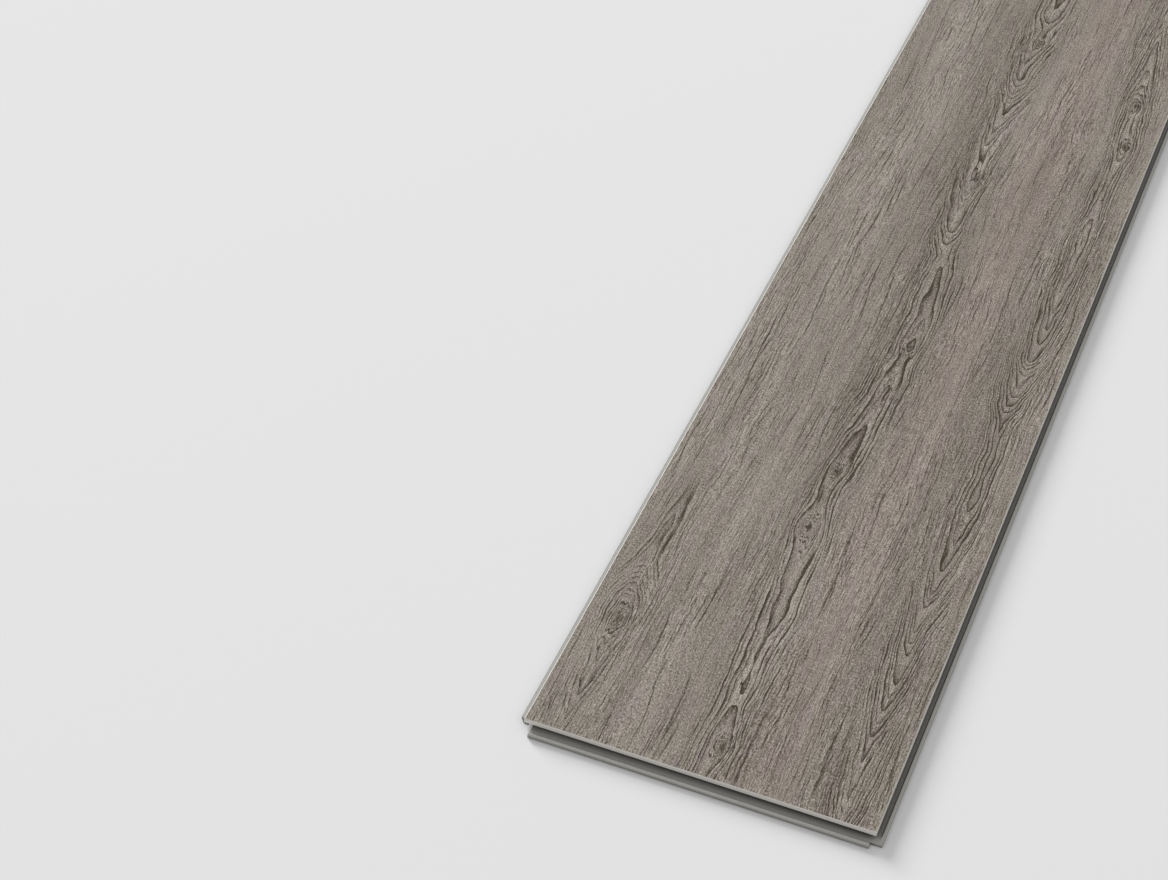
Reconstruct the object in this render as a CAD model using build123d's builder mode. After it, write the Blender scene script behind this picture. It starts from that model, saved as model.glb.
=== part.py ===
"""Design floor plank: one rigid board with a printed face and a click joint milled on all four edges.

The face lies up, the length runs along Y and the width along X. The origin is on the underside,
below the middle of the face. The groove edges are at +X and -Y, the tongue edges at -X and +Y.
"""

import os

from build123d import *

# Board, measured on its printed face from joint line to joint line (mm)
face_length = 1220.0
face_width = 180.0
thickness = 6.5
face_bevel = 0.4
underside_bevel = 0.3

# Groove and tongue
upper_lip = 2.5  # board above the groove
groove_depth = 2.6  # behind the joint line
tongue_tip = 1.2  # height of the groove at its end
tip_radius = 0.3  # upper corner of the groove's end and of the tongue
joint_play = 0.1  # all round the tongue

# Lower lip with its locking ridge
long_lip_reach = 4.0  # in front of the joint line, on the long edge
end_lip_reach = 5.6  # the same on the short end
lip_thickness = 1.6  # at its hollow
hollow_start = 0.4  # in front of the joint line, where the lip starts to climb into the groove
ridge_rise = 1.0  # above the hollow
ridge_top = 0.9  # width of the ridge's flat top
ridge_flank = 0.6  # run of the slope that locks
ridge_nose = 0.5  # bevel on the ridge's outer corner

# Corner where the two lower lips meet: what is left beside and in front of the face's corner
corner_side_cut = 1.8
corner_end_reach = 2.6

# Heights above the underside
groove_roof = thickness - upper_lip
groove_sill = groove_roof - tongue_tip
ridge_height = lip_thickness + ridge_rise


def edge_points(edge, outward):
    """Return a function that places a point by its distance in front of a joint line and its height."""
    return lambda out, height: (edge + outward * out, height)


def draw_groove_edge(edge, outward, lip_reach):
    """Draw a groove edge from the face to the underside and return its two end points."""
    at = edge_points(edge, outward)
    nose = lip_reach - ridge_nose
    crest = nose - ridge_top
    face_end = at(-face_bevel, thickness)
    underside_end = at(lip_reach - underside_bevel, 0)
    Polyline(
        face_end,
        at(0, thickness - face_bevel),
        at(0, groove_roof),
        at(tip_radius - groove_depth, groove_roof),
    )
    TangentArc(
        at(tip_radius - groove_depth, groove_roof),
        at(-groove_depth, groove_roof - tip_radius),
        tangent=(-outward, 0),
    )
    Line(at(-groove_depth, groove_roof - tip_radius), at(-groove_depth, groove_sill))
    TangentArc(at(hollow_start, lip_thickness), at(-groove_depth, groove_sill), tangent=(-outward, 0))
    Polyline(
        at(hollow_start, lip_thickness),
        at(crest - ridge_flank, lip_thickness),
        at(crest, ridge_height),
        at(nose, ridge_height),
        at(lip_reach, ridge_height - ridge_nose),
        at(lip_reach, underside_bevel),
        underside_end,
    )
    return face_end, underside_end


def draw_tongue_edge(edge, outward, lip_reach):
    """Draw the tongue edge that clicks into such a groove, and return its two end points."""
    at = edge_points(edge, outward)
    tongue_top = groove_roof - joint_play
    tongue_end = groove_depth - joint_play
    tongue_sill = groove_sill + joint_play
    hook_bottom = lip_thickness + joint_play
    hook_edge = joint_play - (lip_reach - ridge_nose - ridge_top)
    recess_roof = ridge_height + joint_play
    recess_wall = -(lip_reach + joint_play)
    face_end = at(-face_bevel, thickness)
    underside_end = at(recess_wall - underside_bevel, 0)
    Polyline(
        face_end,
        at(0, thickness - face_bevel),
        at(0, tongue_top),
        at(tongue_end - tip_radius, tongue_top),
    )
    TangentArc(
        at(tongue_end - tip_radius, tongue_top),
        at(tongue_end, tongue_top - tip_radius),
        tangent=(outward, 0),
    )
    Line(at(tongue_end, tongue_top - tip_radius), at(tongue_end, tongue_sill))
    TangentArc(at(-hollow_start, hook_bottom), at(tongue_end, tongue_sill), tangent=(outward, 0))
    Polyline(
        at(-hollow_start, hook_bottom),
        at(hook_edge + ridge_flank, hook_bottom),
        at(hook_edge, recess_roof),
        at(recess_wall, recess_roof),
        at(recess_wall, underside_bevel),
        underside_end,
    )
    return face_end, underside_end


def draw_section(face_size, groove_side, lip_reach):
    """Draw the closed outline across the board, from its groove edge to its tongue edge."""
    edge = groove_side * face_size / 2
    groove_face, groove_underside = draw_groove_edge(edge, groove_side, lip_reach)
    tongue_face, tongue_underside = draw_tongue_edge(-edge, -groove_side, lip_reach)
    Line(groove_face, tongue_face)
    Line(groove_underside, tongue_underside)


with BuildPart() as plank:
    # Long edges: the section across the width, run past both ends
    with BuildSketch(Plane.XZ):
        with BuildLine():
            draw_section(face_width, 1, long_lip_reach)
        make_face()
    extrude(amount=face_length / 2 + end_lip_reach + groove_depth, both=True)

    # Short ends: the section along the length takes off all that lies outside it
    with BuildSketch(Plane.YZ):
        with BuildLine():
            draw_section(face_length, -1, end_lip_reach)
        make_face()
    extrude(amount=face_width / 2 + long_lip_reach + groove_depth, both=True, mode=Mode.INTERSECT)

    # Corners: the lower lips are cut back where the next row's lips and tongues pass
    with BuildSketch(Plane.XY):
        with Locations((face_width / 2 - corner_side_cut, -face_length / 2 - corner_end_reach)):
            Rectangle(
                corner_side_cut + 2 * long_lip_reach,
                2 * end_lip_reach,
                align=(Align.MIN, Align.MAX),
            )
        with Locations((long_lip_reach + joint_play - face_width / 2, -face_length / 2)):
            Rectangle(
                2 * long_lip_reach + 2 * groove_depth,
                2 * end_lip_reach,
                align=(Align.MAX, Align.MAX),
            )
        with Locations((face_width / 2, face_length / 2 - end_lip_reach - joint_play)):
            Rectangle(
                2 * long_lip_reach,
                2 * end_lip_reach + 2 * groove_depth,
                align=(Align.MIN, Align.MIN),
            )
    extrude(amount=thickness, mode=Mode.SUBTRACT)

plank.part.label = "plank"

os.makedirs("parts", exist_ok=True)
export_step(plank.part, "parts/plank.step")

box = plank.part.bounding_box()
print("plank", box.size, "volume", round(plank.part.volume), "solids", len(plank.part.solids()))
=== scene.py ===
import math

import bmesh
import bpy
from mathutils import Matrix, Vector


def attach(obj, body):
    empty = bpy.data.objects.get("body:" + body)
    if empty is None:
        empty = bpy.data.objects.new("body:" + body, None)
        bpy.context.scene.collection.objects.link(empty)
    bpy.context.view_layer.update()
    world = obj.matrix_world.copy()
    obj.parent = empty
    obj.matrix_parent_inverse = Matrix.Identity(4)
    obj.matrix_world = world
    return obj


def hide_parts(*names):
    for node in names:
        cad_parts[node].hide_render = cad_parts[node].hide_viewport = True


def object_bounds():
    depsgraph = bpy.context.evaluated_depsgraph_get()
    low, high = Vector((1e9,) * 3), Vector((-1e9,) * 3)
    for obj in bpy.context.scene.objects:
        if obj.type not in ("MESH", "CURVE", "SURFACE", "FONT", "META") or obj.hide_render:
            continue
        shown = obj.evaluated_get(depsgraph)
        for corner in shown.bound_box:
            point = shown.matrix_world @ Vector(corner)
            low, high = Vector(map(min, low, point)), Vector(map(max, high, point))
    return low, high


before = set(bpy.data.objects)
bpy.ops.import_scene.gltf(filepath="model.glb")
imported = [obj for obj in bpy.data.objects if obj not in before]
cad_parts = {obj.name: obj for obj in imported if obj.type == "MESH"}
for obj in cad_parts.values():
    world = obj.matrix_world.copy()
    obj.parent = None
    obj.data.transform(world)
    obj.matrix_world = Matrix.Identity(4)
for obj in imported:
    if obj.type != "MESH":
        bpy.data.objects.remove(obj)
cad_low, cad_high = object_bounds()

# Board: one rigid plank of stone-filled vinyl, pressed flat with its printed film under a clear wear layer.
# It is sawn to size and milled on all four edges with a click joint. Its face is meshed finely enough to
# take the embossing.
MM = 0.001
FACE_HEIGHT = cad_high.z
FACE_CELL_ACROSS = 0.45 * MM
FACE_CELL_ALONG = 5.1 * MM
UPPER_LIP = 2.5 * MM
# Faces facing down below this height are painted dark grey, a painted contact shadow along the foot
CONTACT_SHADOW_HEIGHT = 0.2 * MM
FACING_DOWN = -0.5
FLAT_ANGLE = math.radians(1)
WELD = 0.001 * MM
TOUCH = 0.01 * MM
PRINT, TOP_LAYER, CORE, CONTACT_SHADOW_PAINT = range(4)

board = bmesh.new()
board.from_mesh(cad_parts["plank"].data)
bmesh.ops.remove_doubles(board, verts=board.verts, dist=WELD)
bmesh.ops.dissolve_limit(board, angle_limit=FLAT_ANGLE, verts=board.verts, edges=board.edges)
board.normal_update()
plain_face = max(
    board.faces, key=lambda face: face.normal.z * face.calc_area() * face.calc_center_median().z
)
face_left = min(vert.co.x for vert in plain_face.verts)
face_right = max(vert.co.x for vert in plain_face.verts)
face_front = min(vert.co.y for vert in plain_face.verts)
face_back = max(vert.co.y for vert in plain_face.verts)
cells_across = round((face_right - face_left) / FACE_CELL_ACROSS)
cells_along = round((face_back - face_front) / FACE_CELL_ALONG)

# The rim of the face is divided like the face itself, so that the mesh stays closed
rim_across = [edge for edge in plain_face.edges if abs(edge.verts[0].co.y - edge.verts[1].co.y) < MM]
rim_along = [edge for edge in plain_face.edges if edge not in rim_across]
bmesh.ops.delete(board, geom=[plain_face], context="FACES_ONLY")
bmesh.ops.subdivide_edges(board, edges=rim_across, cuts=cells_across - 1)
bmesh.ops.subdivide_edges(board, edges=rim_along, cuts=cells_along - 1)


def grid_step(point):
    """Column and row of a point on the face."""
    column = round((point.x - face_left) / (face_right - face_left) * cells_across)
    row = round((point.y - face_front) / (face_back - face_front) * cells_along)
    return column, row


face_verts = {}
for edge in board.edges:
    if edge.is_boundary:
        for vert in edge.verts:
            face_verts[grid_step(vert.co)] = vert
for row in range(1, cells_along):
    y = face_front + (face_back - face_front) * row / cells_along
    for column in range(1, cells_across):
        x = face_left + (face_right - face_left) * column / cells_across
        face_verts[column, row] = board.verts.new((x, y, FACE_HEIGHT))

# Milled faces show the top layer above the groove and the core below it; the underside and its lower bevels
# are painted dark grey as the contact shadow along the foot
for face in board.faces:
    level = face.calc_center_median().z
    face.material_index = TOP_LAYER if level > FACE_HEIGHT - UPPER_LIP + TOUCH else CORE
    if face.normal.z < FACING_DOWN and level < CONTACT_SHADOW_HEIGHT:
        face.material_index = CONTACT_SHADOW_PAINT
for row in range(cells_along):
    for column in range(cells_across):
        corners = [(column, row), (column + 1, row), (column + 1, row + 1), (column, row + 1)]
        cell = board.faces.new([face_verts[corner] for corner in corners])
        cell.material_index = PRINT
        cell.smooth = True

plank_mesh = bpy.data.meshes.new("floor_plank")
board.to_mesh(plank_mesh)
board.free()
plank = bpy.data.objects.new("floor_plank", plank_mesh)
bpy.context.scene.collection.objects.link(plank)
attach(plank, "root")
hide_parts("plank")


# Oak figure: a grey oak drawn for the film, straight-grained, with three narrow hearts of arched rings.
# The same figure drives the print's colours and the embossing plate, so that colour and relief stay in
# register.
def add(tree, kind, inputs=None, output=0, stops=(), points=(), **settings):
    """Add a node with its settings, its links and its ramp's stops or curve's points; return an output."""
    node = tree.nodes.new(kind)
    for name, value in settings.items():
        setattr(node, name, value)
    for name, value in (inputs or {}).items():
        if isinstance(value, bpy.types.NodeSocket):
            tree.links.new(value, node.inputs[name])
        else:
            node.inputs[name].default_value = value
    for number, (place, colour) in enumerate(stops):
        if number > 1:
            node.color_ramp.elements.new(1.0)
        node.color_ramp.elements[number].position = place
        node.color_ramp.elements[number].color = colour
    # A new curve has its first and its last point already
    for number, place in enumerate(points[:1] + points[-1:] + points[1:-1]):
        if number > 1:
            point = node.mapping.curves[0].points.new(*place)
        else:
            point = node.mapping.curves[0].points[number]
            point.location = place
        point.handle_type = "VECTOR"
    if points:
        node.mapping.update()
    return node.outputs[output] if node.outputs else node


PLANK_LENGTH_MM = (face_back - face_front) / MM
# Wander of the grain as (width, length, sideways push in millimetres, seed): broad sweeps to a fine waver
SWEEPS = [(45, 190, 4.0, 3.7), (12, 44, 0.7, 11.3), (5, 12, 0.4, 23.9)]
# Noise of the grain as (name, width, length in millimetres, octaves after the first). Real fibres are less
# than a tenth of a millimetre wide; the finest ones here are drawn as coarse as they need to show.
GRAIN = [
    ("stipple", 0.6, 1.2, 0.0),
    ("dash", 0.60, 5.0, 1.0),
    ("fibre", 0.85, 18.0, 1.0),
    ("calm", 24.0, 110.0, 1.0),
    ("streak", 20.0, 120.0, 0.0),
    ("hair", 9.0, 50.0, 0.0),
    ("pore", 0.5, 7.0, 0.0),
    ("band", 9.0, 420.0, 2.0),
    ("cloud", 34.0, 150.0, 2.0),
    ("tint", 9.0, 36.0, 2.0),
    ("waver", 14.0, 30.0, 1.0),
    ("lens", 40.0, 85.0, 1.0),
    ("break", 2.5, 30.0, 1.0),
    ("margin", 9.0, 60.0, 1.0),
]
GRAIN_ROUGHNESS = 0.6
GRAIN_SEED_STEP = 17.3
FLAT_NOISE = {"noise_dimensions": "2D", "normalize": False}
GRAIN_LIVELY = {"From Min": -0.4, "From Max": 0.4, "To Min": 0.45, "To Max": 1.3}
PORE_OPENS = {"From Min": 0.2, "From Max": 0.5}

# Hearts lie side by side, each in a lane of its own. Rings follow each other ever closer outwards from a
# rounded crown, within these slopes in rings per millimetre.
HEART_SPACING_MM = 70.0
HEART_ROUNDING_MM = 1.2
RING_CURL_POWER = 0.75
RING_SLOPE = 0.08
RING_STEEPEST = 0.4
# Half width in millimetres of each heart's dark rings, how fast they follow each other outwards, half width
# of the soft shade around them, and the share of this shade at the front end
HEART_SHAPES = [(8.5, 0.12, 22.0, 0.4), (9.0, 0.12, 36.0, 0.4), (9.5, 0.17, 30.0, 1.0)]
# Each heart as (millimetres from the front end, millimetres aside of its lane, growth rings): where the
# count falls the rings arch towards the front end, where it rises towards the back, where it rests they
# run straight
HEARTS = [
    [
        (0, -1, 14.4), (40, -1, 12.6), (79, -2, 11.5), (95, -2, 12.2), (124, -2, 17.4), (150, -1, 18.2),
        (200, 0, 19.5), (700, 0, 20), (800, 3, 24), (960, -2, 18.4), (1220, 0, 25),
    ],
    [
        (0, 2, 26.6), (20, 3, 26.2), (48, 2, 27.6), (60, 2, 27.2), (150, 1, 26.5), (178, 0, 26.2),
        (224, 0, 26.4), (250, 0, 26.5), (330, 1, 29.2), (345, 1, 28.4), (372, 1, 28.6), (425, -2, 29.6),
        (436, -5, 28.6), (456, -6, 26), (501, -8, 24), (535, -8, 22.2), (560, -9, 21), (590, -9, 19.4),
        (605, -9, 17.4), (622, -9, 15.5), (650, -9, 13.5), (672, -8, 12.8), (705, -8, 10.5), (760, -6, 9.6),
        (900, 0, 13), (990, 2, 11.4), (1220, 0, 18),
    ],
    [
        (0, 0, 34), (3.5, 0, 33.5), (10, 0, 32.5), (50, 0, 31), (68, 0, 29.4), (80, 0, 27.8), (93, 0, 26.4),
        (122, 0, 24.4), (143, 0, 22.8), (157, 0, 21.2), (176, 0, 20), (215, 0, 18.2), (236, 0, 17.2),
        (270, 0, 16.9), (297, 0, 16.6), (304, 0, 15.6), (310, 0, 14.6), (322, 0, 13.6), (326, 0, 12.6),
        (340, 0, 12), (352, 0, 9.6), (362, 0, 8.6), (372, 0, 7.6), (420, 0, 4.8), (470, 0, 4), (500, 0, 5),
        (560, -1, 5.2), (600, -3, 4.8), (630, -3, 5.8), (720, -2, 10.6), (860, 0, 5.9), (1000, 2, 11.6),
        (1100, 1, 9.9), (1220, 0, 18.6),
    ],
]
# The most that the curves of these courses can hold
DRIFT_RANGE_MM = 30.0
RING_RANGE = 36.0
# Rings by which each noise shifts the count, and how ragged the margin of a heart is
RING_SHIFTS = [("waver", 0.3), ("lens", 0.9), ("break", 0.14)]
MARGIN_MM = 5.0
HEART_FADE = {"From Min": -1.0, "From Max": 4.5, "To Min": 1.0, "To Max": 0.0}
# The first heart is a little fainter at the front end, and dies out for a long stretch
FIRST_HEART_ENDS = {"From Min": 165.0, "From Max": 200.0, "To Min": 0.3}
FIRST_HEART_RETURNS = {"From Min": 740.0, "From Max": 800.0}
# The shade around a heart leans to its left and deepens away from the front end
SHADE_LEAN_MM = 6.0
SHADE_GROWS = {"From Min": 80.0, "From Max": 260.0}
SHADE_FADE = {"From Min": 0.1, "From Max": 1.0, "To Min": 1.0, "To Max": 0.0}

# Knots as (millimetres across from the middle, millimetres from the front end, half width, rings)
KNOTS = [
    (-72, 79, 5.0, -5.0),
    (6, 20, 4.5, -4.0),
    (-1, 178, 4.5, -5.0),
    (0, 224, 4.5, -4.0),
    (1, 338, 3.5, -3.0),
    (-5, 507, 5.5, -3.5),
    (-7, 668, 4.0, -3.0),
    (70, 575, 4.5, -4.0),
    (67, 622, 5.0, -4.0),
    (-71, 905, 5.0, -5.0),
    (2, 1010, 4.5, -5.0),
    (71, 860, 4.5, -4.0),
]
KNOT_WIDTH_TO_LENGTH = 0.6
KNOT_RAGGED = 0.3
KNOT_CROWDING = 0.7
KNOT_CORE_POWER = 5.0

# Darkness of a ring by the millimetres inwards from its outer edge: a hard dark line, then nothing
LINE_STOPS = [(0.0, 0.4), (0.1, 1.0), (0.4, 0.9), (0.8, 0.3), (1.5, 0.0)]
LINE_RANGE_MM = 2.0
# The line is thinner and thicker along its run, interrupted here and there, and of a strength of its own
LINE_WEIGHT = {
    "From Min": -0.5,
    "From Max": 0.5,
    "To Min": 1.8 / LINE_RANGE_MM,
    "To Max": 0.8 / LINE_RANGE_MM,
}
LINE_GAPS = {"From Min": -0.4, "From Max": 0.2, "To Min": 0.35, "To Max": 1.0}
LINE_STRENGTH = {"To Min": 0.6, "To Max": 1.15}
# Darkness of its brown late wood by the share of the ring from the inside out, and how many millimetres
# behind the line it ends
FILL_STOPS = [(0.0, 0.0), (0.15, 0.05), (0.4, 0.2), (0.7, 0.5), (1.0, 1.0)]
FILL_FADE = {"From Max": 9.0, "To Min": 1.0, "To Max": 0.0}
FILL_STRENGTH = {"To Min": 0.25}
# Good and bad years: how often they change in a ring, and how many rings they shift the count
SEASON_PACE = 0.6
SEASON_SHIFT = 0.5

# Thin dark lines of the straight grain as (name, spacing, bend in spacings, half width, length, rarity)
THIN_LINES = [("hair", 2.2, 0.9, 0.42, 45.0, -0.1), ("streak", 7.0, 0.7, 0.50, 80.0, 0.1)]
THIN_LINE_CORE = 0.3
THIN_LINE_ENDS = 0.35
THIN_LINE_SEED_STEP = 7.31

# Faint blush between the second and the third heart, stronger away from the front end
BLUSH_ACROSS_MM = 31.0
BLUSH_FADE = {"From Min": 8.0, "From Max": 20.0, "To Min": 1.0, "To Max": 0.0}
BLUSH_GROWS = {"From Max": 400.0, "To Min": 0.6}


def lay_figure(tree, place):
    """Add the oak figure to a node tree, from a place in metres, and return its fields by name."""
    place_mm = add(
        tree,
        "ShaderNodeVectorMath",
        {0: place, 1: (1 / MM, 1 / MM, 0), 2: (0, PLANK_LENGTH_MM / 2, 0)},
        operation="MULTIPLY_ADD",
    )
    along = add(tree, "ShaderNodeSeparateXYZ", {"Vector": place_mm}, output=1)

    # Grain that wanders: each sweep pushes every line sideways
    grain = place_mm
    for width, length, push, shift in SWEEPS:
        spot = add(
            tree,
            "ShaderNodeVectorMath",
            {0: place_mm, 1: (1 / width, 1 / length, 0), 2: (shift, shift, 0)},
            operation="MULTIPLY_ADD",
        )
        sweep = add(tree, "ShaderNodeTexNoise", {"Vector": spot, "Scale": 1, "Detail": 1}, **FLAT_NOISE)
        sideways = add(tree, "ShaderNodeCombineXYZ", {"X": sweep})
        grain = add(
            tree, "ShaderNodeVectorMath", {0: sideways, 1: (push, 0, 0), 2: grain}, operation="MULTIPLY_ADD"
        )
    across = add(tree, "ShaderNodeSeparateXYZ", {"Vector": grain})

    # Noise of the grain, each stretched to its own width and length
    fields = {}
    for number, (name, width, length, octaves) in enumerate(GRAIN):
        shift = GRAIN_SEED_STEP * number
        spot = add(
            tree,
            "ShaderNodeVectorMath",
            {0: grain, 1: (1 / width, 1 / length, 0), 2: (shift, shift, 0)},
            operation="MULTIPLY_ADD",
        )
        fields[name] = add(
            tree,
            "ShaderNodeTexNoise",
            {"Vector": spot, "Scale": 1, "Detail": octaves, "Roughness": GRAIN_ROUGHNESS},
            **FLAT_NOISE,
        )

    # Number of the heart whose lane this is, and millimetres from the middle of the lane
    lane = add(
        tree,
        "ShaderNodeMath",
        {0: across, 1: 1 / HEART_SPACING_MM, 2: len(HEARTS) / 2},
        operation="MULTIPLY_ADD",
    )
    heart = add(tree, "ShaderNodeMath", {0: lane}, operation="FLOOR")
    offset = add(tree, "ShaderNodeMath", {0: lane, 1: heart}, operation="SUBTRACT")
    offset = add(
        tree,
        "ShaderNodeMath",
        {0: offset, 1: HEART_SPACING_MM, 2: -HEART_SPACING_MM / 2},
        operation="MULTIPLY_ADD",
    )

    # Each heart drifts in its lane, and brings its own ring count, widths and shade
    share = add(tree, "ShaderNodeMath", {0: along, 1: 1 / PLANK_LENGTH_MM}, operation="MULTIPLY")
    ragged = add(tree, "ShaderNodeMath", {0: fields["margin"], 1: MARGIN_MM}, operation="MULTIPLY")
    rate = 0.0
    shaded = 0.0
    fresh = 0.0
    rings = 0.0
    for name, shift in RING_SHIFTS:
        rings = add(tree, "ShaderNodeMath", {0: fields[name], 1: shift, 2: rings}, operation="MULTIPLY_ADD")
    for number, course in enumerate(HEARTS):
        half_width, heart_rate, shade_width, front_shade = HEART_SHAPES[number]
        here = add(tree, "ShaderNodeMath", {0: heart, 1: number, 2: 0.5}, operation="COMPARE")
        drifts = [(front / PLANK_LENGTH_MM, 0.5 + drift / DRIFT_RANGE_MM) for front, drift, count in course]
        drift = add(tree, "ShaderNodeFloatCurve", {"Value": share}, points=drifts)
        drift = add(tree, "ShaderNodeMath", {0: drift, 1: 0.5}, operation="SUBTRACT")
        drift = add(tree, "ShaderNodeMath", {0: drift, 1: -DRIFT_RANGE_MM}, operation="MULTIPLY")
        offset = add(tree, "ShaderNodeMath", {0: drift, 1: here, 2: offset}, operation="MULTIPLY_ADD")
        arches = [(front / PLANK_LENGTH_MM, count / RING_RANGE) for front, drift, count in course]
        arch = add(tree, "ShaderNodeFloatCurve", {"Value": share}, points=arches)
        arch = add(tree, "ShaderNodeMath", {0: arch, 1: RING_RANGE}, operation="MULTIPLY")
        rings = add(tree, "ShaderNodeMath", {0: arch, 1: here, 2: rings}, operation="MULTIPLY_ADD")
        ragged = add(tree, "ShaderNodeMath", {0: here, 1: -half_width, 2: ragged}, operation="MULTIPLY_ADD")
        rate = add(tree, "ShaderNodeMath", {0: here, 1: heart_rate, 2: rate}, operation="MULTIPLY_ADD")
        shaded = add(tree, "ShaderNodeMath", {0: here, 1: shade_width, 2: shaded}, operation="MULTIPLY_ADD")
        fresh = add(tree, "ShaderNodeMath", {0: here, 1: front_shade, 2: fresh}, operation="MULTIPLY_ADD")

    # Ring count outwards from the heart, and its slope, which turns shares of a ring into millimetres
    squared = add(
        tree, "ShaderNodeMath", {0: offset, 1: offset, 2: HEART_ROUNDING_MM**2}, operation="MULTIPLY_ADD"
    )
    aside = add(tree, "ShaderNodeMath", {0: squared}, operation="SQRT")
    curl = add(tree, "ShaderNodeMath", {0: squared, 1: RING_CURL_POWER}, operation="POWER")
    rings = add(tree, "ShaderNodeMath", {0: curl, 1: rate, 2: rings}, operation="MULTIPLY_ADD")
    steep = add(tree, "ShaderNodeMath", {0: squared, 1: 2 * RING_CURL_POWER - 2}, operation="POWER")
    spread = add(tree, "ShaderNodeMath", {0: offset, 1: rate}, operation="MULTIPLY")
    steep = add(tree, "ShaderNodeMath", {0: steep, 1: spread}, operation="MULTIPLY")
    steep = add(tree, "ShaderNodeMath", {0: steep, 1: spread}, operation="MULTIPLY")
    steep = add(
        tree,
        "ShaderNodeMath",
        {0: steep, 1: (2 * RING_CURL_POWER) ** 2, 2: RING_SLOPE**2},
        operation="MULTIPLY_ADD",
    )
    steep = add(tree, "ShaderNodeMath", {0: steep}, operation="SQRT")
    steep = add(tree, "ShaderNodeMath", {0: steep, 1: RING_STEEPEST}, operation="MINIMUM")

    # Rings bulge round each knot and crowd there
    fields["knot"] = 0.0
    for knot_across, knot_front, half_width, knot_rings in KNOTS:
        reach = add(
            tree, "ShaderNodeVectorMath", {0: grain, 1: (knot_across, knot_front, 0)}, operation="SUBTRACT"
        )
        reach = add(
            tree,
            "ShaderNodeVectorMath",
            {0: reach, 1: (1 / half_width, KNOT_WIDTH_TO_LENGTH / half_width, 0)},
            operation="MULTIPLY",
        )
        reach = add(tree, "ShaderNodeVectorMath", {0: reach}, output=1, operation="LENGTH")
        reach = add(
            tree, "ShaderNodeMath", {0: fields["break"], 1: KNOT_RAGGED, 2: reach}, operation="MULTIPLY_ADD"
        )
        reach = add(tree, "ShaderNodeMath", {0: reach, 1: 0.0}, operation="MAXIMUM")
        swell = add(tree, "ShaderNodeMath", {0: math.exp(-1), 1: reach}, operation="POWER")
        rings = add(tree, "ShaderNodeMath", {0: swell, 1: knot_rings, 2: rings}, operation="MULTIPLY_ADD")
        crowding = -KNOT_CROWDING * knot_rings / half_width
        steep = add(tree, "ShaderNodeMath", {0: swell, 1: crowding, 2: steep}, operation="MULTIPLY_ADD")
        fields["knot"] = add(tree, "ShaderNodeMath", {0: swell, 1: fields["knot"]}, operation="MAXIMUM")
    fields["knot"] = add(
        tree, "ShaderNodeMath", {0: fields["knot"], 1: KNOT_CORE_POWER}, operation="POWER"
    )

    # Good and bad years make some rings wider than others
    season = add(tree, "ShaderNodeMath", {0: rings, 1: SEASON_PACE}, operation="MULTIPLY")
    season = add(
        tree,
        "ShaderNodeTexNoise",
        {"W": season, "Scale": 1, "Detail": 0},
        noise_dimensions="1D",
        normalize=False,
    )
    rings = add(tree, "ShaderNodeMath", {0: season, 1: SEASON_SHIFT, 2: rings}, operation="MULTIPLY_ADD")
    count = add(tree, "ShaderNodeMath", {0: rings}, operation="FLOOR")
    turn = add(tree, "ShaderNodeMath", {0: rings}, operation="FRACT")
    inwards = add(tree, "ShaderNodeMath", {0: 1.0, 1: turn}, operation="SUBTRACT")
    inwards = add(tree, "ShaderNodeMath", {0: inwards, 1: steep}, operation="DIVIDE")

    # Dark line on the outer edge of each ring
    weight = add(tree, "ShaderNodeMapRange", {"Value": fields["break"], **LINE_WEIGHT})
    weighted = add(tree, "ShaderNodeMath", {0: inwards, 1: weight}, operation="MULTIPLY")
    line = add(
        tree,
        "ShaderNodeValToRGB",
        {"Fac": weighted},
        stops=[(place / LINE_RANGE_MM, (dark, dark, dark, 1)) for place, dark in LINE_STOPS],
    )
    seed = add(tree, "ShaderNodeCombineXYZ", {"X": count, "Y": heart})
    strength = add(tree, "ShaderNodeTexWhiteNoise", {"Vector": seed}, noise_dimensions="2D")
    strength = add(tree, "ShaderNodeMapRange", {"Value": strength, **LINE_STRENGTH})
    line = add(tree, "ShaderNodeMath", {0: line, 1: strength}, operation="MULTIPLY")
    whole = add(tree, "ShaderNodeMapRange", {"Value": fields["break"], **LINE_GAPS})
    line = add(tree, "ShaderNodeMath", {0: line, 1: whole}, operation="MULTIPLY")

    # Late wood behind the line
    fill = add(
        tree,
        "ShaderNodeValToRGB",
        {"Fac": turn},
        stops=[(place, (dark, dark, dark, 1)) for place, dark in FILL_STOPS],
    )
    seed = add(tree, "ShaderNodeCombineXYZ", {"X": heart, "Y": count})
    filled = add(tree, "ShaderNodeTexWhiteNoise", {"Vector": seed}, noise_dimensions="2D")
    filled = add(tree, "ShaderNodeMapRange", {"Value": filled, **FILL_STRENGTH})
    fill = add(tree, "ShaderNodeMath", {0: fill, 1: filled}, operation="MULTIPLY")
    faded = add(tree, "ShaderNodeMapRange", {"Value": inwards, **FILL_FADE})
    fill = add(tree, "ShaderNodeMath", {0: fill, 1: faded}, operation="MULTIPLY")

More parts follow.
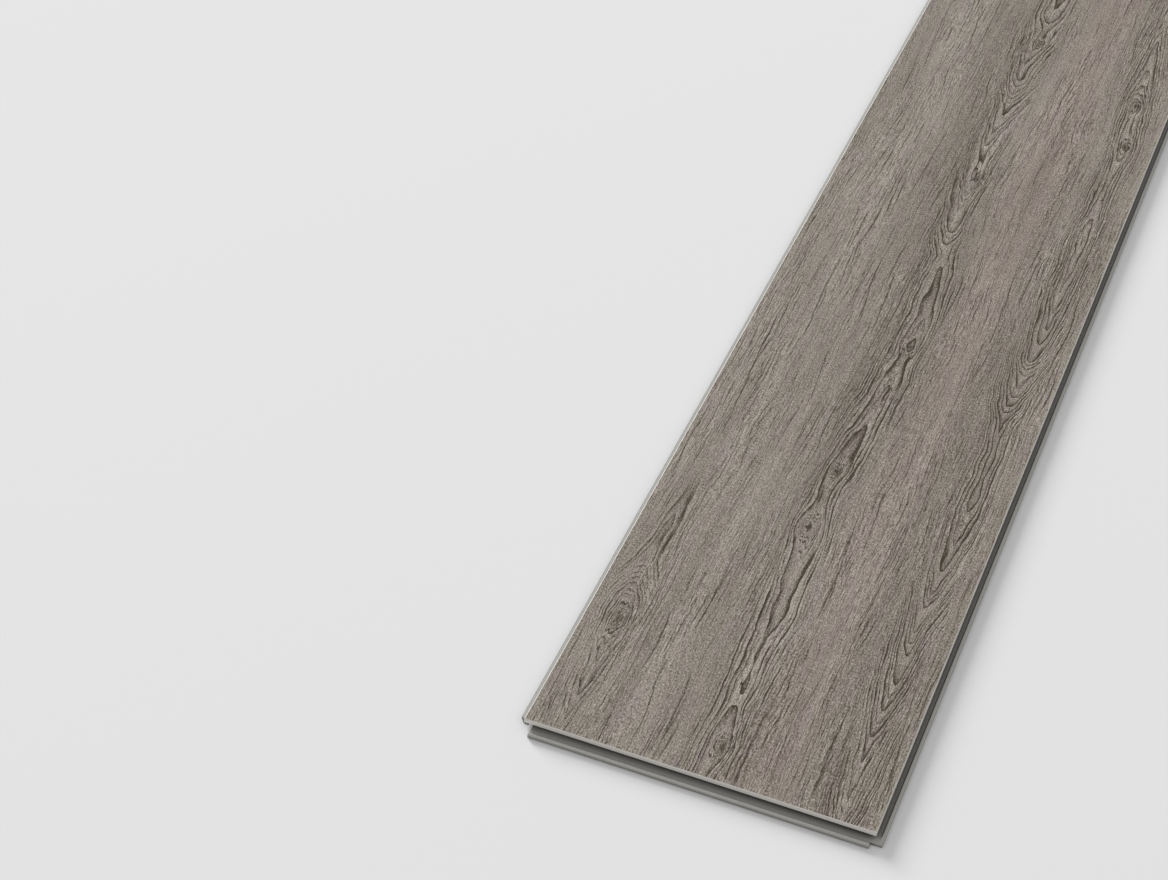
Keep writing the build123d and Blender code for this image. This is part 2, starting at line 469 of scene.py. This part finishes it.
    # The rings show only near the hearts
    ragged = add(tree, "ShaderNodeMath", {0: ragged, 1: aside}, operation="ADD")
    near = add(
        tree, "ShaderNodeMapRange", {"Value": ragged, **HEART_FADE}, interpolation_type="SMOOTHSTEP"
    )
    ends = add(
        tree, "ShaderNodeMapRange", {"Value": along, **FIRST_HEART_ENDS}, interpolation_type="SMOOTHSTEP"
    )
    returns = add(
        tree, "ShaderNodeMapRange", {"Value": along, **FIRST_HEART_RETURNS}, interpolation_type="SMOOTHSTEP"
    )
    absent = add(tree, "ShaderNodeMath", {0: ends, 1: returns}, operation="SUBTRACT")
    first = add(tree, "ShaderNodeMath", {0: heart, 1: 0, 2: 0.5}, operation="COMPARE")
    absent = add(tree, "ShaderNodeMath", {0: absent, 1: first}, operation="MULTIPLY")
    present = add(tree, "ShaderNodeMath", {0: 1.0, 1: absent}, operation="SUBTRACT")
    fields["heart"] = add(tree, "ShaderNodeMath", {0: near, 1: present}, operation="MULTIPLY")
    fields["ring"] = add(tree, "ShaderNodeMath", {0: line, 1: fields["heart"]}, operation="MULTIPLY")
    fields["fill"] = add(tree, "ShaderNodeMath", {0: fill, 1: fields["heart"]}, operation="MULTIPLY")

    # Soft shade around each heart
    grown = add(tree, "ShaderNodeMapRange", {"Value": along, **SHADE_GROWS})
    wide = add(tree, "ShaderNodeMath", {0: grown, 1: SHADE_LEAN_MM, 2: offset}, operation="MULTIPLY_ADD")
    wide = add(tree, "ShaderNodeMath", {0: wide}, operation="ABSOLUTE")
    wide = add(tree, "ShaderNodeMath", {0: wide, 1: shaded}, operation="DIVIDE")
    shade = add(
        tree, "ShaderNodeMapRange", {"Value": wide, **SHADE_FADE}, interpolation_type="SMOOTHSTEP"
    )
    deep = add(tree, "ShaderNodeMapRange", {"Value": grown, "To Min": fresh})
    shade = add(tree, "ShaderNodeMath", {0: shade, 1: deep}, operation="MULTIPLY")
    fields["shade"] = add(tree, "ShaderNodeMath", {0: shade, 1: present}, operation="MULTIPLY")

    # Thin lines of the straight grain: each bends with the next and shows in stretches, outside the hearts
    outside = add(tree, "ShaderNodeMath", {0: 1.0, 1: fields["heart"]}, operation="SUBTRACT")
    for name, spacing, bend, half_width, length, rarity in THIN_LINES:
        course = add(tree, "ShaderNodeMath", {0: fields[name], 1: bend}, operation="MULTIPLY")
        course = add(tree, "ShaderNodeMath", {0: across, 1: 1 / spacing, 2: course}, operation="MULTIPLY_ADD")
        beside = add(tree, "ShaderNodeMath", {0: course}, operation="FRACT")
        beside = add(tree, "ShaderNodeMath", {0: beside, 1: 0.5}, operation="SUBTRACT")
        beside = add(tree, "ShaderNodeMath", {0: beside}, operation="ABSOLUTE")
        thin = add(
            tree,
            "ShaderNodeMapRange",
            {
                "Value": beside,
                "From Min": THIN_LINE_CORE * half_width / spacing,
                "From Max": half_width / spacing,
                "To Min": 1.0,
                "To Max": 0.0,
            },
        )
        seed = add(tree, "ShaderNodeMath", {0: course}, operation="FLOOR")
        seed = add(tree, "ShaderNodeMath", {0: seed, 1: THIN_LINE_SEED_STEP}, operation="MULTIPLY")
        run = add(tree, "ShaderNodeMath", {0: along, 1: 1 / length}, operation="MULTIPLY")
        run = add(tree, "ShaderNodeCombineXYZ", {"X": seed, "Y": run})
        shown = add(tree, "ShaderNodeTexNoise", {"Vector": run, "Scale": 1, "Detail": 1}, **FLAT_NOISE)
        shown = add(
            tree,
            "ShaderNodeMapRange",
            {"Value": shown, "From Min": rarity, "From Max": rarity + THIN_LINE_ENDS},
        )
        shown = add(tree, "ShaderNodeMath", {0: shown, 1: outside}, operation="MULTIPLY")
        fields[name] = add(tree, "ShaderNodeMath", {0: thin, 1: shown}, operation="MULTIPLY")

    # The straight grain is livelier in some places than in others; short open pores dot all of it
    lively = add(tree, "ShaderNodeMapRange", {"Value": fields["calm"], **GRAIN_LIVELY})
    for name in ("dash", "fibre", "hair"):
        fields[name] = add(tree, "ShaderNodeMath", {0: fields[name], 1: lively}, operation="MULTIPLY")
    fields["pore"] = add(tree, "ShaderNodeMapRange", {"Value": fields["pore"], **PORE_OPENS})

    # Blush beside the hearts
    aisle = add(tree, "ShaderNodeMath", {0: across, 1: BLUSH_ACROSS_MM}, operation="SUBTRACT")
    aisle = add(tree, "ShaderNodeMath", {0: aisle}, operation="ABSOLUTE")
    blush = add(
        tree, "ShaderNodeMapRange", {"Value": aisle, **BLUSH_FADE}, interpolation_type="SMOOTHSTEP"
    )
    ripens = add(tree, "ShaderNodeMapRange", {"Value": along, **BLUSH_GROWS})
    fields["blush"] = add(tree, "ShaderNodeMath", {0: blush, 1: ripens}, operation="MULTIPLY")
    return fields


# Printed face: vinyl film with the oak print under a matt wear layer, pressed onto the board with heat.
# To the eye it is a dry, even sheen over warm grey grain and brown ring lines, with a faint mauve cast in
# patches and a faint pink one between two hearts.
def linear(code):
    """Linear colour with alpha from an sRGB hex value."""
    channels = [int(code[place:place + 2], 16) / 255 for place in (1, 3, 5)]
    return [c / 12.92 if c <= 0.04045 else ((c + 0.055) / 1.055) ** 2.4 for c in channels] + [1.0]


# Inks from dark to pale; each field of the figure darkens or lightens the ground by its weight
INKS = [(0.0, "#30220a"), (0.27, "#574e3f"), (0.545, "#797065"), (0.82, "#999085"), (1.0, "#ada59a")]
GROUND_TONE = 0.705
TONE_WEIGHTS = {
    "stipple": 0.40,
    "dash": 0.20,
    "fibre": 0.12,
    "hair": -0.40,
    "streak": -0.42,
    "pore": -0.16,
    "band": 0.07,
    "cloud": 0.06,
    "ring": -0.72,
    "fill": -0.72,
    "heart": 0.14,
    "shade": -0.12,
    "knot": -0.7,
}
MAUVE_CAST = "#fbf5ff"
MAUVE_PATCHES = {"From Min": 0.12, "From Max": 0.4, "To Max": 0.8}
PINK_BLUSH = "#fffafb"
RELIEF_WEIGHTS = {"stipple": 0.15, "dash": 0.3, "fibre": 0.4, "streak": -0.5, "pore": -0.5, "ring": -0.8}
RELIEF = {"Strength": 0.5, "Distance": 0.2 * MM}
WEAR_LAYER = {"Roughness": 0.8, "IOR": 1.5}

printed_vinyl = bpy.data.materials.new("printed_vinyl_oak")
printed_vinyl.use_nodes = True
tree = printed_vinyl.node_tree
tree.nodes.clear()
figure = lay_figure(tree, add(tree, "ShaderNodeTexCoord", output=3))
tone = GROUND_TONE
for name, weight in TONE_WEIGHTS.items():
    tone = add(tree, "ShaderNodeMath", {0: figure[name], 1: weight, 2: tone}, operation="MULTIPLY_ADD")
colour = add(tree, "ShaderNodeValToRGB", {"Fac": tone}, stops=[(place, linear(code)) for place, code in INKS])
mauve = add(tree, "ShaderNodeMapRange", {"Value": figure["tint"], **MAUVE_PATCHES})
for cast, code in [(mauve, MAUVE_CAST), (figure["blush"], PINK_BLUSH)]:
    colour = add(
        tree,
        "ShaderNodeMix",
        {"Factor": cast, "A": colour, "B": linear(code)},
        output=2,
        data_type="RGBA",
        blend_type="MULTIPLY",
    )
depth = 0.0
for name, weight in RELIEF_WEIGHTS.items():
    depth = add(tree, "ShaderNodeMath", {0: figure[name], 1: weight, 2: depth}, operation="MULTIPLY_ADD")
relief = add(tree, "ShaderNodeBump", {"Height": depth, **RELIEF})
skin = add(tree, "ShaderNodeBsdfPrincipled", {"Base Color": colour, "Normal": relief, **WEAR_LAYER})
add(tree, "ShaderNodeOutputMaterial", {"Surface": skin})
plank_mesh.materials.append(printed_vinyl)

# Top layer, core and underside: limestone-filled vinyl, pressed together and bare where it is milled. The
# core is painted darker with shade where nearby surfaces close it in, deep in its grooves and at its foot by
# the floor, and the underside is painted dark grey as the contact shadow under the board.
# To the eye each is a dull grey with fine pale and dark grit; real grit is finer than it is drawn here.
GRIT_MM = 0.5
GRIT_DARK = 0.3
GRIT_PALE = 0.7
GRIT_RELIEF = {"Strength": 0.3, "Distance": 0.1 * MM}
# Painted shade: how far the occlusion reaches, and how dark it paints the core in its grooves and by the
# floor
GROOVE_REACH = 8 * MM
GROOVE_PAINTED_SHADE = {"From Min": 0.3, "From Max": 0.85, "To Min": 0.15}
FILLED_VINYL = {"Roughness": 0.7, "IOR": 1.5}
for name, dark, pale, groove_shade_painted in [
    ("pressed_vinyl_top_layer", "#cac6c0", "#d8d4ce", False),
    ("stone_filled_vinyl_core", "#a09e99", "#b4b2ad", True),
    ("painted_contact_shadow", "#4c4b49", "#5c5b58", False),
]:
    filled_vinyl = bpy.data.materials.new(name)
    filled_vinyl.use_nodes = True
    tree = filled_vinyl.node_tree
    tree.nodes.clear()
    place = add(tree, "ShaderNodeTexCoord", output=3)
    grit = add(tree, "ShaderNodeTexNoise", {"Vector": place, "Scale": 1 / (GRIT_MM * MM), "Detail": 2})
    greys = [(GRIT_DARK, linear(dark)), (GRIT_PALE, linear(pale))]
    grey = add(tree, "ShaderNodeValToRGB", {"Fac": grit}, stops=greys)
    # Painted shade: the core darkens where the lips and the floor close it in
    if groove_shade_painted:
        open_air = add(tree, "ShaderNodeAmbientOcclusion", {"Distance": GROOVE_REACH}, output=1)
        painted_shade = add(tree, "ShaderNodeMapRange", {"Value": open_air, **GROOVE_PAINTED_SHADE})
        grey = add(tree, "ShaderNodeVectorMath", {0: grey, "Scale": painted_shade}, operation="SCALE")
    grit_relief = add(tree, "ShaderNodeBump", {"Height": grit, **GRIT_RELIEF})
    body = add(
        tree, "ShaderNodeBsdfPrincipled", {"Base Color": grey, "Normal": grit_relief, **FILLED_VINYL}
    )
    add(tree, "ShaderNodeOutputMaterial", {"Surface": body})
    plank_mesh.materials.append(filled_vinyl)

# Embossing: a steel plate presses the fibres of the figure into the warm face, to a tenth of a millimetre.
# It only presses in, and runs out just short of the edges.
EMBOSS_DEPTH = 0.1 * MM
EMBOSS_RUN_OUT = 2.0 * MM
EMBOSS_RANGE = {"From Min": 0.6, "From Max": -0.6}
plate = bpy.data.node_groups.new("embossing_plate", "GeometryNodeTree")
plate.interface.new_socket("Geometry", in_out="INPUT", socket_type="NodeSocketGeometry")
plate.interface.new_socket("Geometry", in_out="OUTPUT", socket_type="NodeSocketGeometry")
blank = add(plate, "NodeGroupInput")
spot = add(plate, "GeometryNodeInputPosition")
figure = lay_figure(plate, spot)
pressed = add(plate, "ShaderNodeMapRange", {"Value": figure["fibre"], **EMBOSS_RANGE})
pressed = add(plate, "ShaderNodeMath", {0: pressed, 1: -EMBOSS_DEPTH}, operation="MULTIPLY")
for output, half_size in [(0, (face_right - face_left) / 2), (1, (face_back - face_front) / 2)]:
    side = add(plate, "ShaderNodeSeparateXYZ", {"Vector": spot}, output=output)
    side = add(plate, "ShaderNodeMath", {0: side}, operation="ABSOLUTE")
    inside = add(
        plate,
        "ShaderNodeMapRange",
        {"Value": side, "From Min": half_size, "From Max": half_size - EMBOSS_RUN_OUT},
    )
    pressed = add(plate, "ShaderNodeMath", {0: pressed, 1: inside}, operation="MULTIPLY")
height = add(plate, "ShaderNodeSeparateXYZ", {"Vector": spot}, output=2)
on_face = add(plate, "ShaderNodeMath", {0: height, 1: FACE_HEIGHT - TOUCH}, operation="GREATER_THAN")
push = add(plate, "ShaderNodeCombineXYZ", {"Z": pressed})
embossed = add(plate, "GeometryNodeSetPosition", {"Geometry": blank, "Selection": on_face, "Offset": push})
add(plate, "NodeGroupOutput", {"Geometry": embossed})
press = plank.modifiers.new("embossing", "NODES")
press.node_group = plate
graph = bpy.context.evaluated_depsgraph_get()
plank.data = bpy.data.meshes.new_from_object(plank.evaluated_get(graph))
plank.modifiers.clear()

# Studio: a floor of matt paper, a white sky that is brighter from the front, and one large softbox low at
# the back left. To the eye the paper is an even pale grey that keeps the plank's soft shadow.
FLOOR_HALF = 12.0
PAPER_GREY = "#e4e4e4"
PAPER = {"Roughness": 0.9, "Specular IOR Level": 0.0}
SKY_WHITE = "#ffffff"
SKY_LEVEL = 0.61
SKY_FROM_FRONT = 1.2
SKY_FROM_BACK = 0.75
KEY_LEVEL = 0.41
KEY_DISTANCE = 20.0
KEY_SIZE = 6.0
KEY_SIDE = Vector((-2.2, 1.6, 1.0)).normalized()

floor_mesh = bpy.data.meshes.new("studio_floor")
floor_signs = [(-1, -1), (1, -1), (1, 1), (-1, 1)]
floor_corners = [(x * FLOOR_HALF, y * FLOOR_HALF, cad_low.z) for x, y in floor_signs]
floor_mesh.from_pydata(floor_corners, [], [(0, 1, 2, 3)])
floor = bpy.data.objects.new("studio_floor", floor_mesh)
bpy.context.scene.collection.objects.link(floor)
paper = bpy.data.materials.new("studio_paper")
paper.use_nodes = True
tree = paper.node_tree
tree.nodes.clear()
sheet = add(tree, "ShaderNodeBsdfPrincipled", {"Base Color": linear(PAPER_GREY), **PAPER})
add(tree, "ShaderNodeOutputMaterial", {"Surface": sheet})
floor_mesh.materials.append(paper)

world = bpy.data.worlds.new("studio_sky")
bpy.context.scene.world = world
world.use_nodes = True
tree = world.node_tree
tree.nodes.clear()
side = add(tree, "ShaderNodeTexCoord")
side = add(tree, "ShaderNodeSeparateXYZ", {"Vector": side}, output=1)
level = add(
    tree,
    "ShaderNodeMapRange",
    {
        "Value": side,
        "From Min": -1.0,
        "To Min": SKY_LEVEL * SKY_FROM_FRONT,
        "To Max": SKY_LEVEL * SKY_FROM_BACK,
    },
)
sky = add(tree, "ShaderNodeBackground", {"Color": linear(SKY_WHITE), "Strength": level})
add(tree, "ShaderNodeOutputWorld", {"Surface": sky})

softbox_data = bpy.data.lights.new("softbox", "AREA")
softbox_data.size = KEY_SIZE
softbox_data.energy = KEY_LEVEL * (math.pi * KEY_DISTANCE) ** 2 / KEY_SIDE.z
softbox = bpy.data.objects.new("softbox", softbox_data)
bpy.context.scene.collection.objects.link(softbox)
lit_spot = Vector((0, face_front / 2, 0))
softbox.location = lit_spot + KEY_SIDE * KEY_DISTANCE
softbox.rotation_euler = KEY_SIDE.to_track_quat("Z", "Y").to_euler()

# Camera: a short telephoto lens at the photograph's place, in front of the plank and a little to its right.
# It looks down on the front end, and the plank runs out of the frame at the top.
CAMERA_LENS_MM = 73.3
CAMERA_PLACE = Vector((0.2270, -1.2936, 0.9024))
CAMERA_TURN = math.radians(22.65)
CAMERA_DIP = math.radians(43.272)
camera_data = bpy.data.cameras.new("camera")
camera_data.lens = CAMERA_LENS_MM
camera = bpy.data.objects.new("camera", camera_data)
bpy.context.scene.collection.objects.link(camera)
camera.location = CAMERA_PLACE
sight = Vector((
    -math.sin(CAMERA_TURN) * math.cos(CAMERA_DIP),
    math.cos(CAMERA_TURN) * math.cos(CAMERA_DIP),
    -math.sin(CAMERA_DIP),
))
camera.rotation_euler = sight.to_track_quat("-Z", "Y").to_euler()
bpy.context.scene.camera = camera
bpy.context.scene.view_settings.view_transform = "Standard"
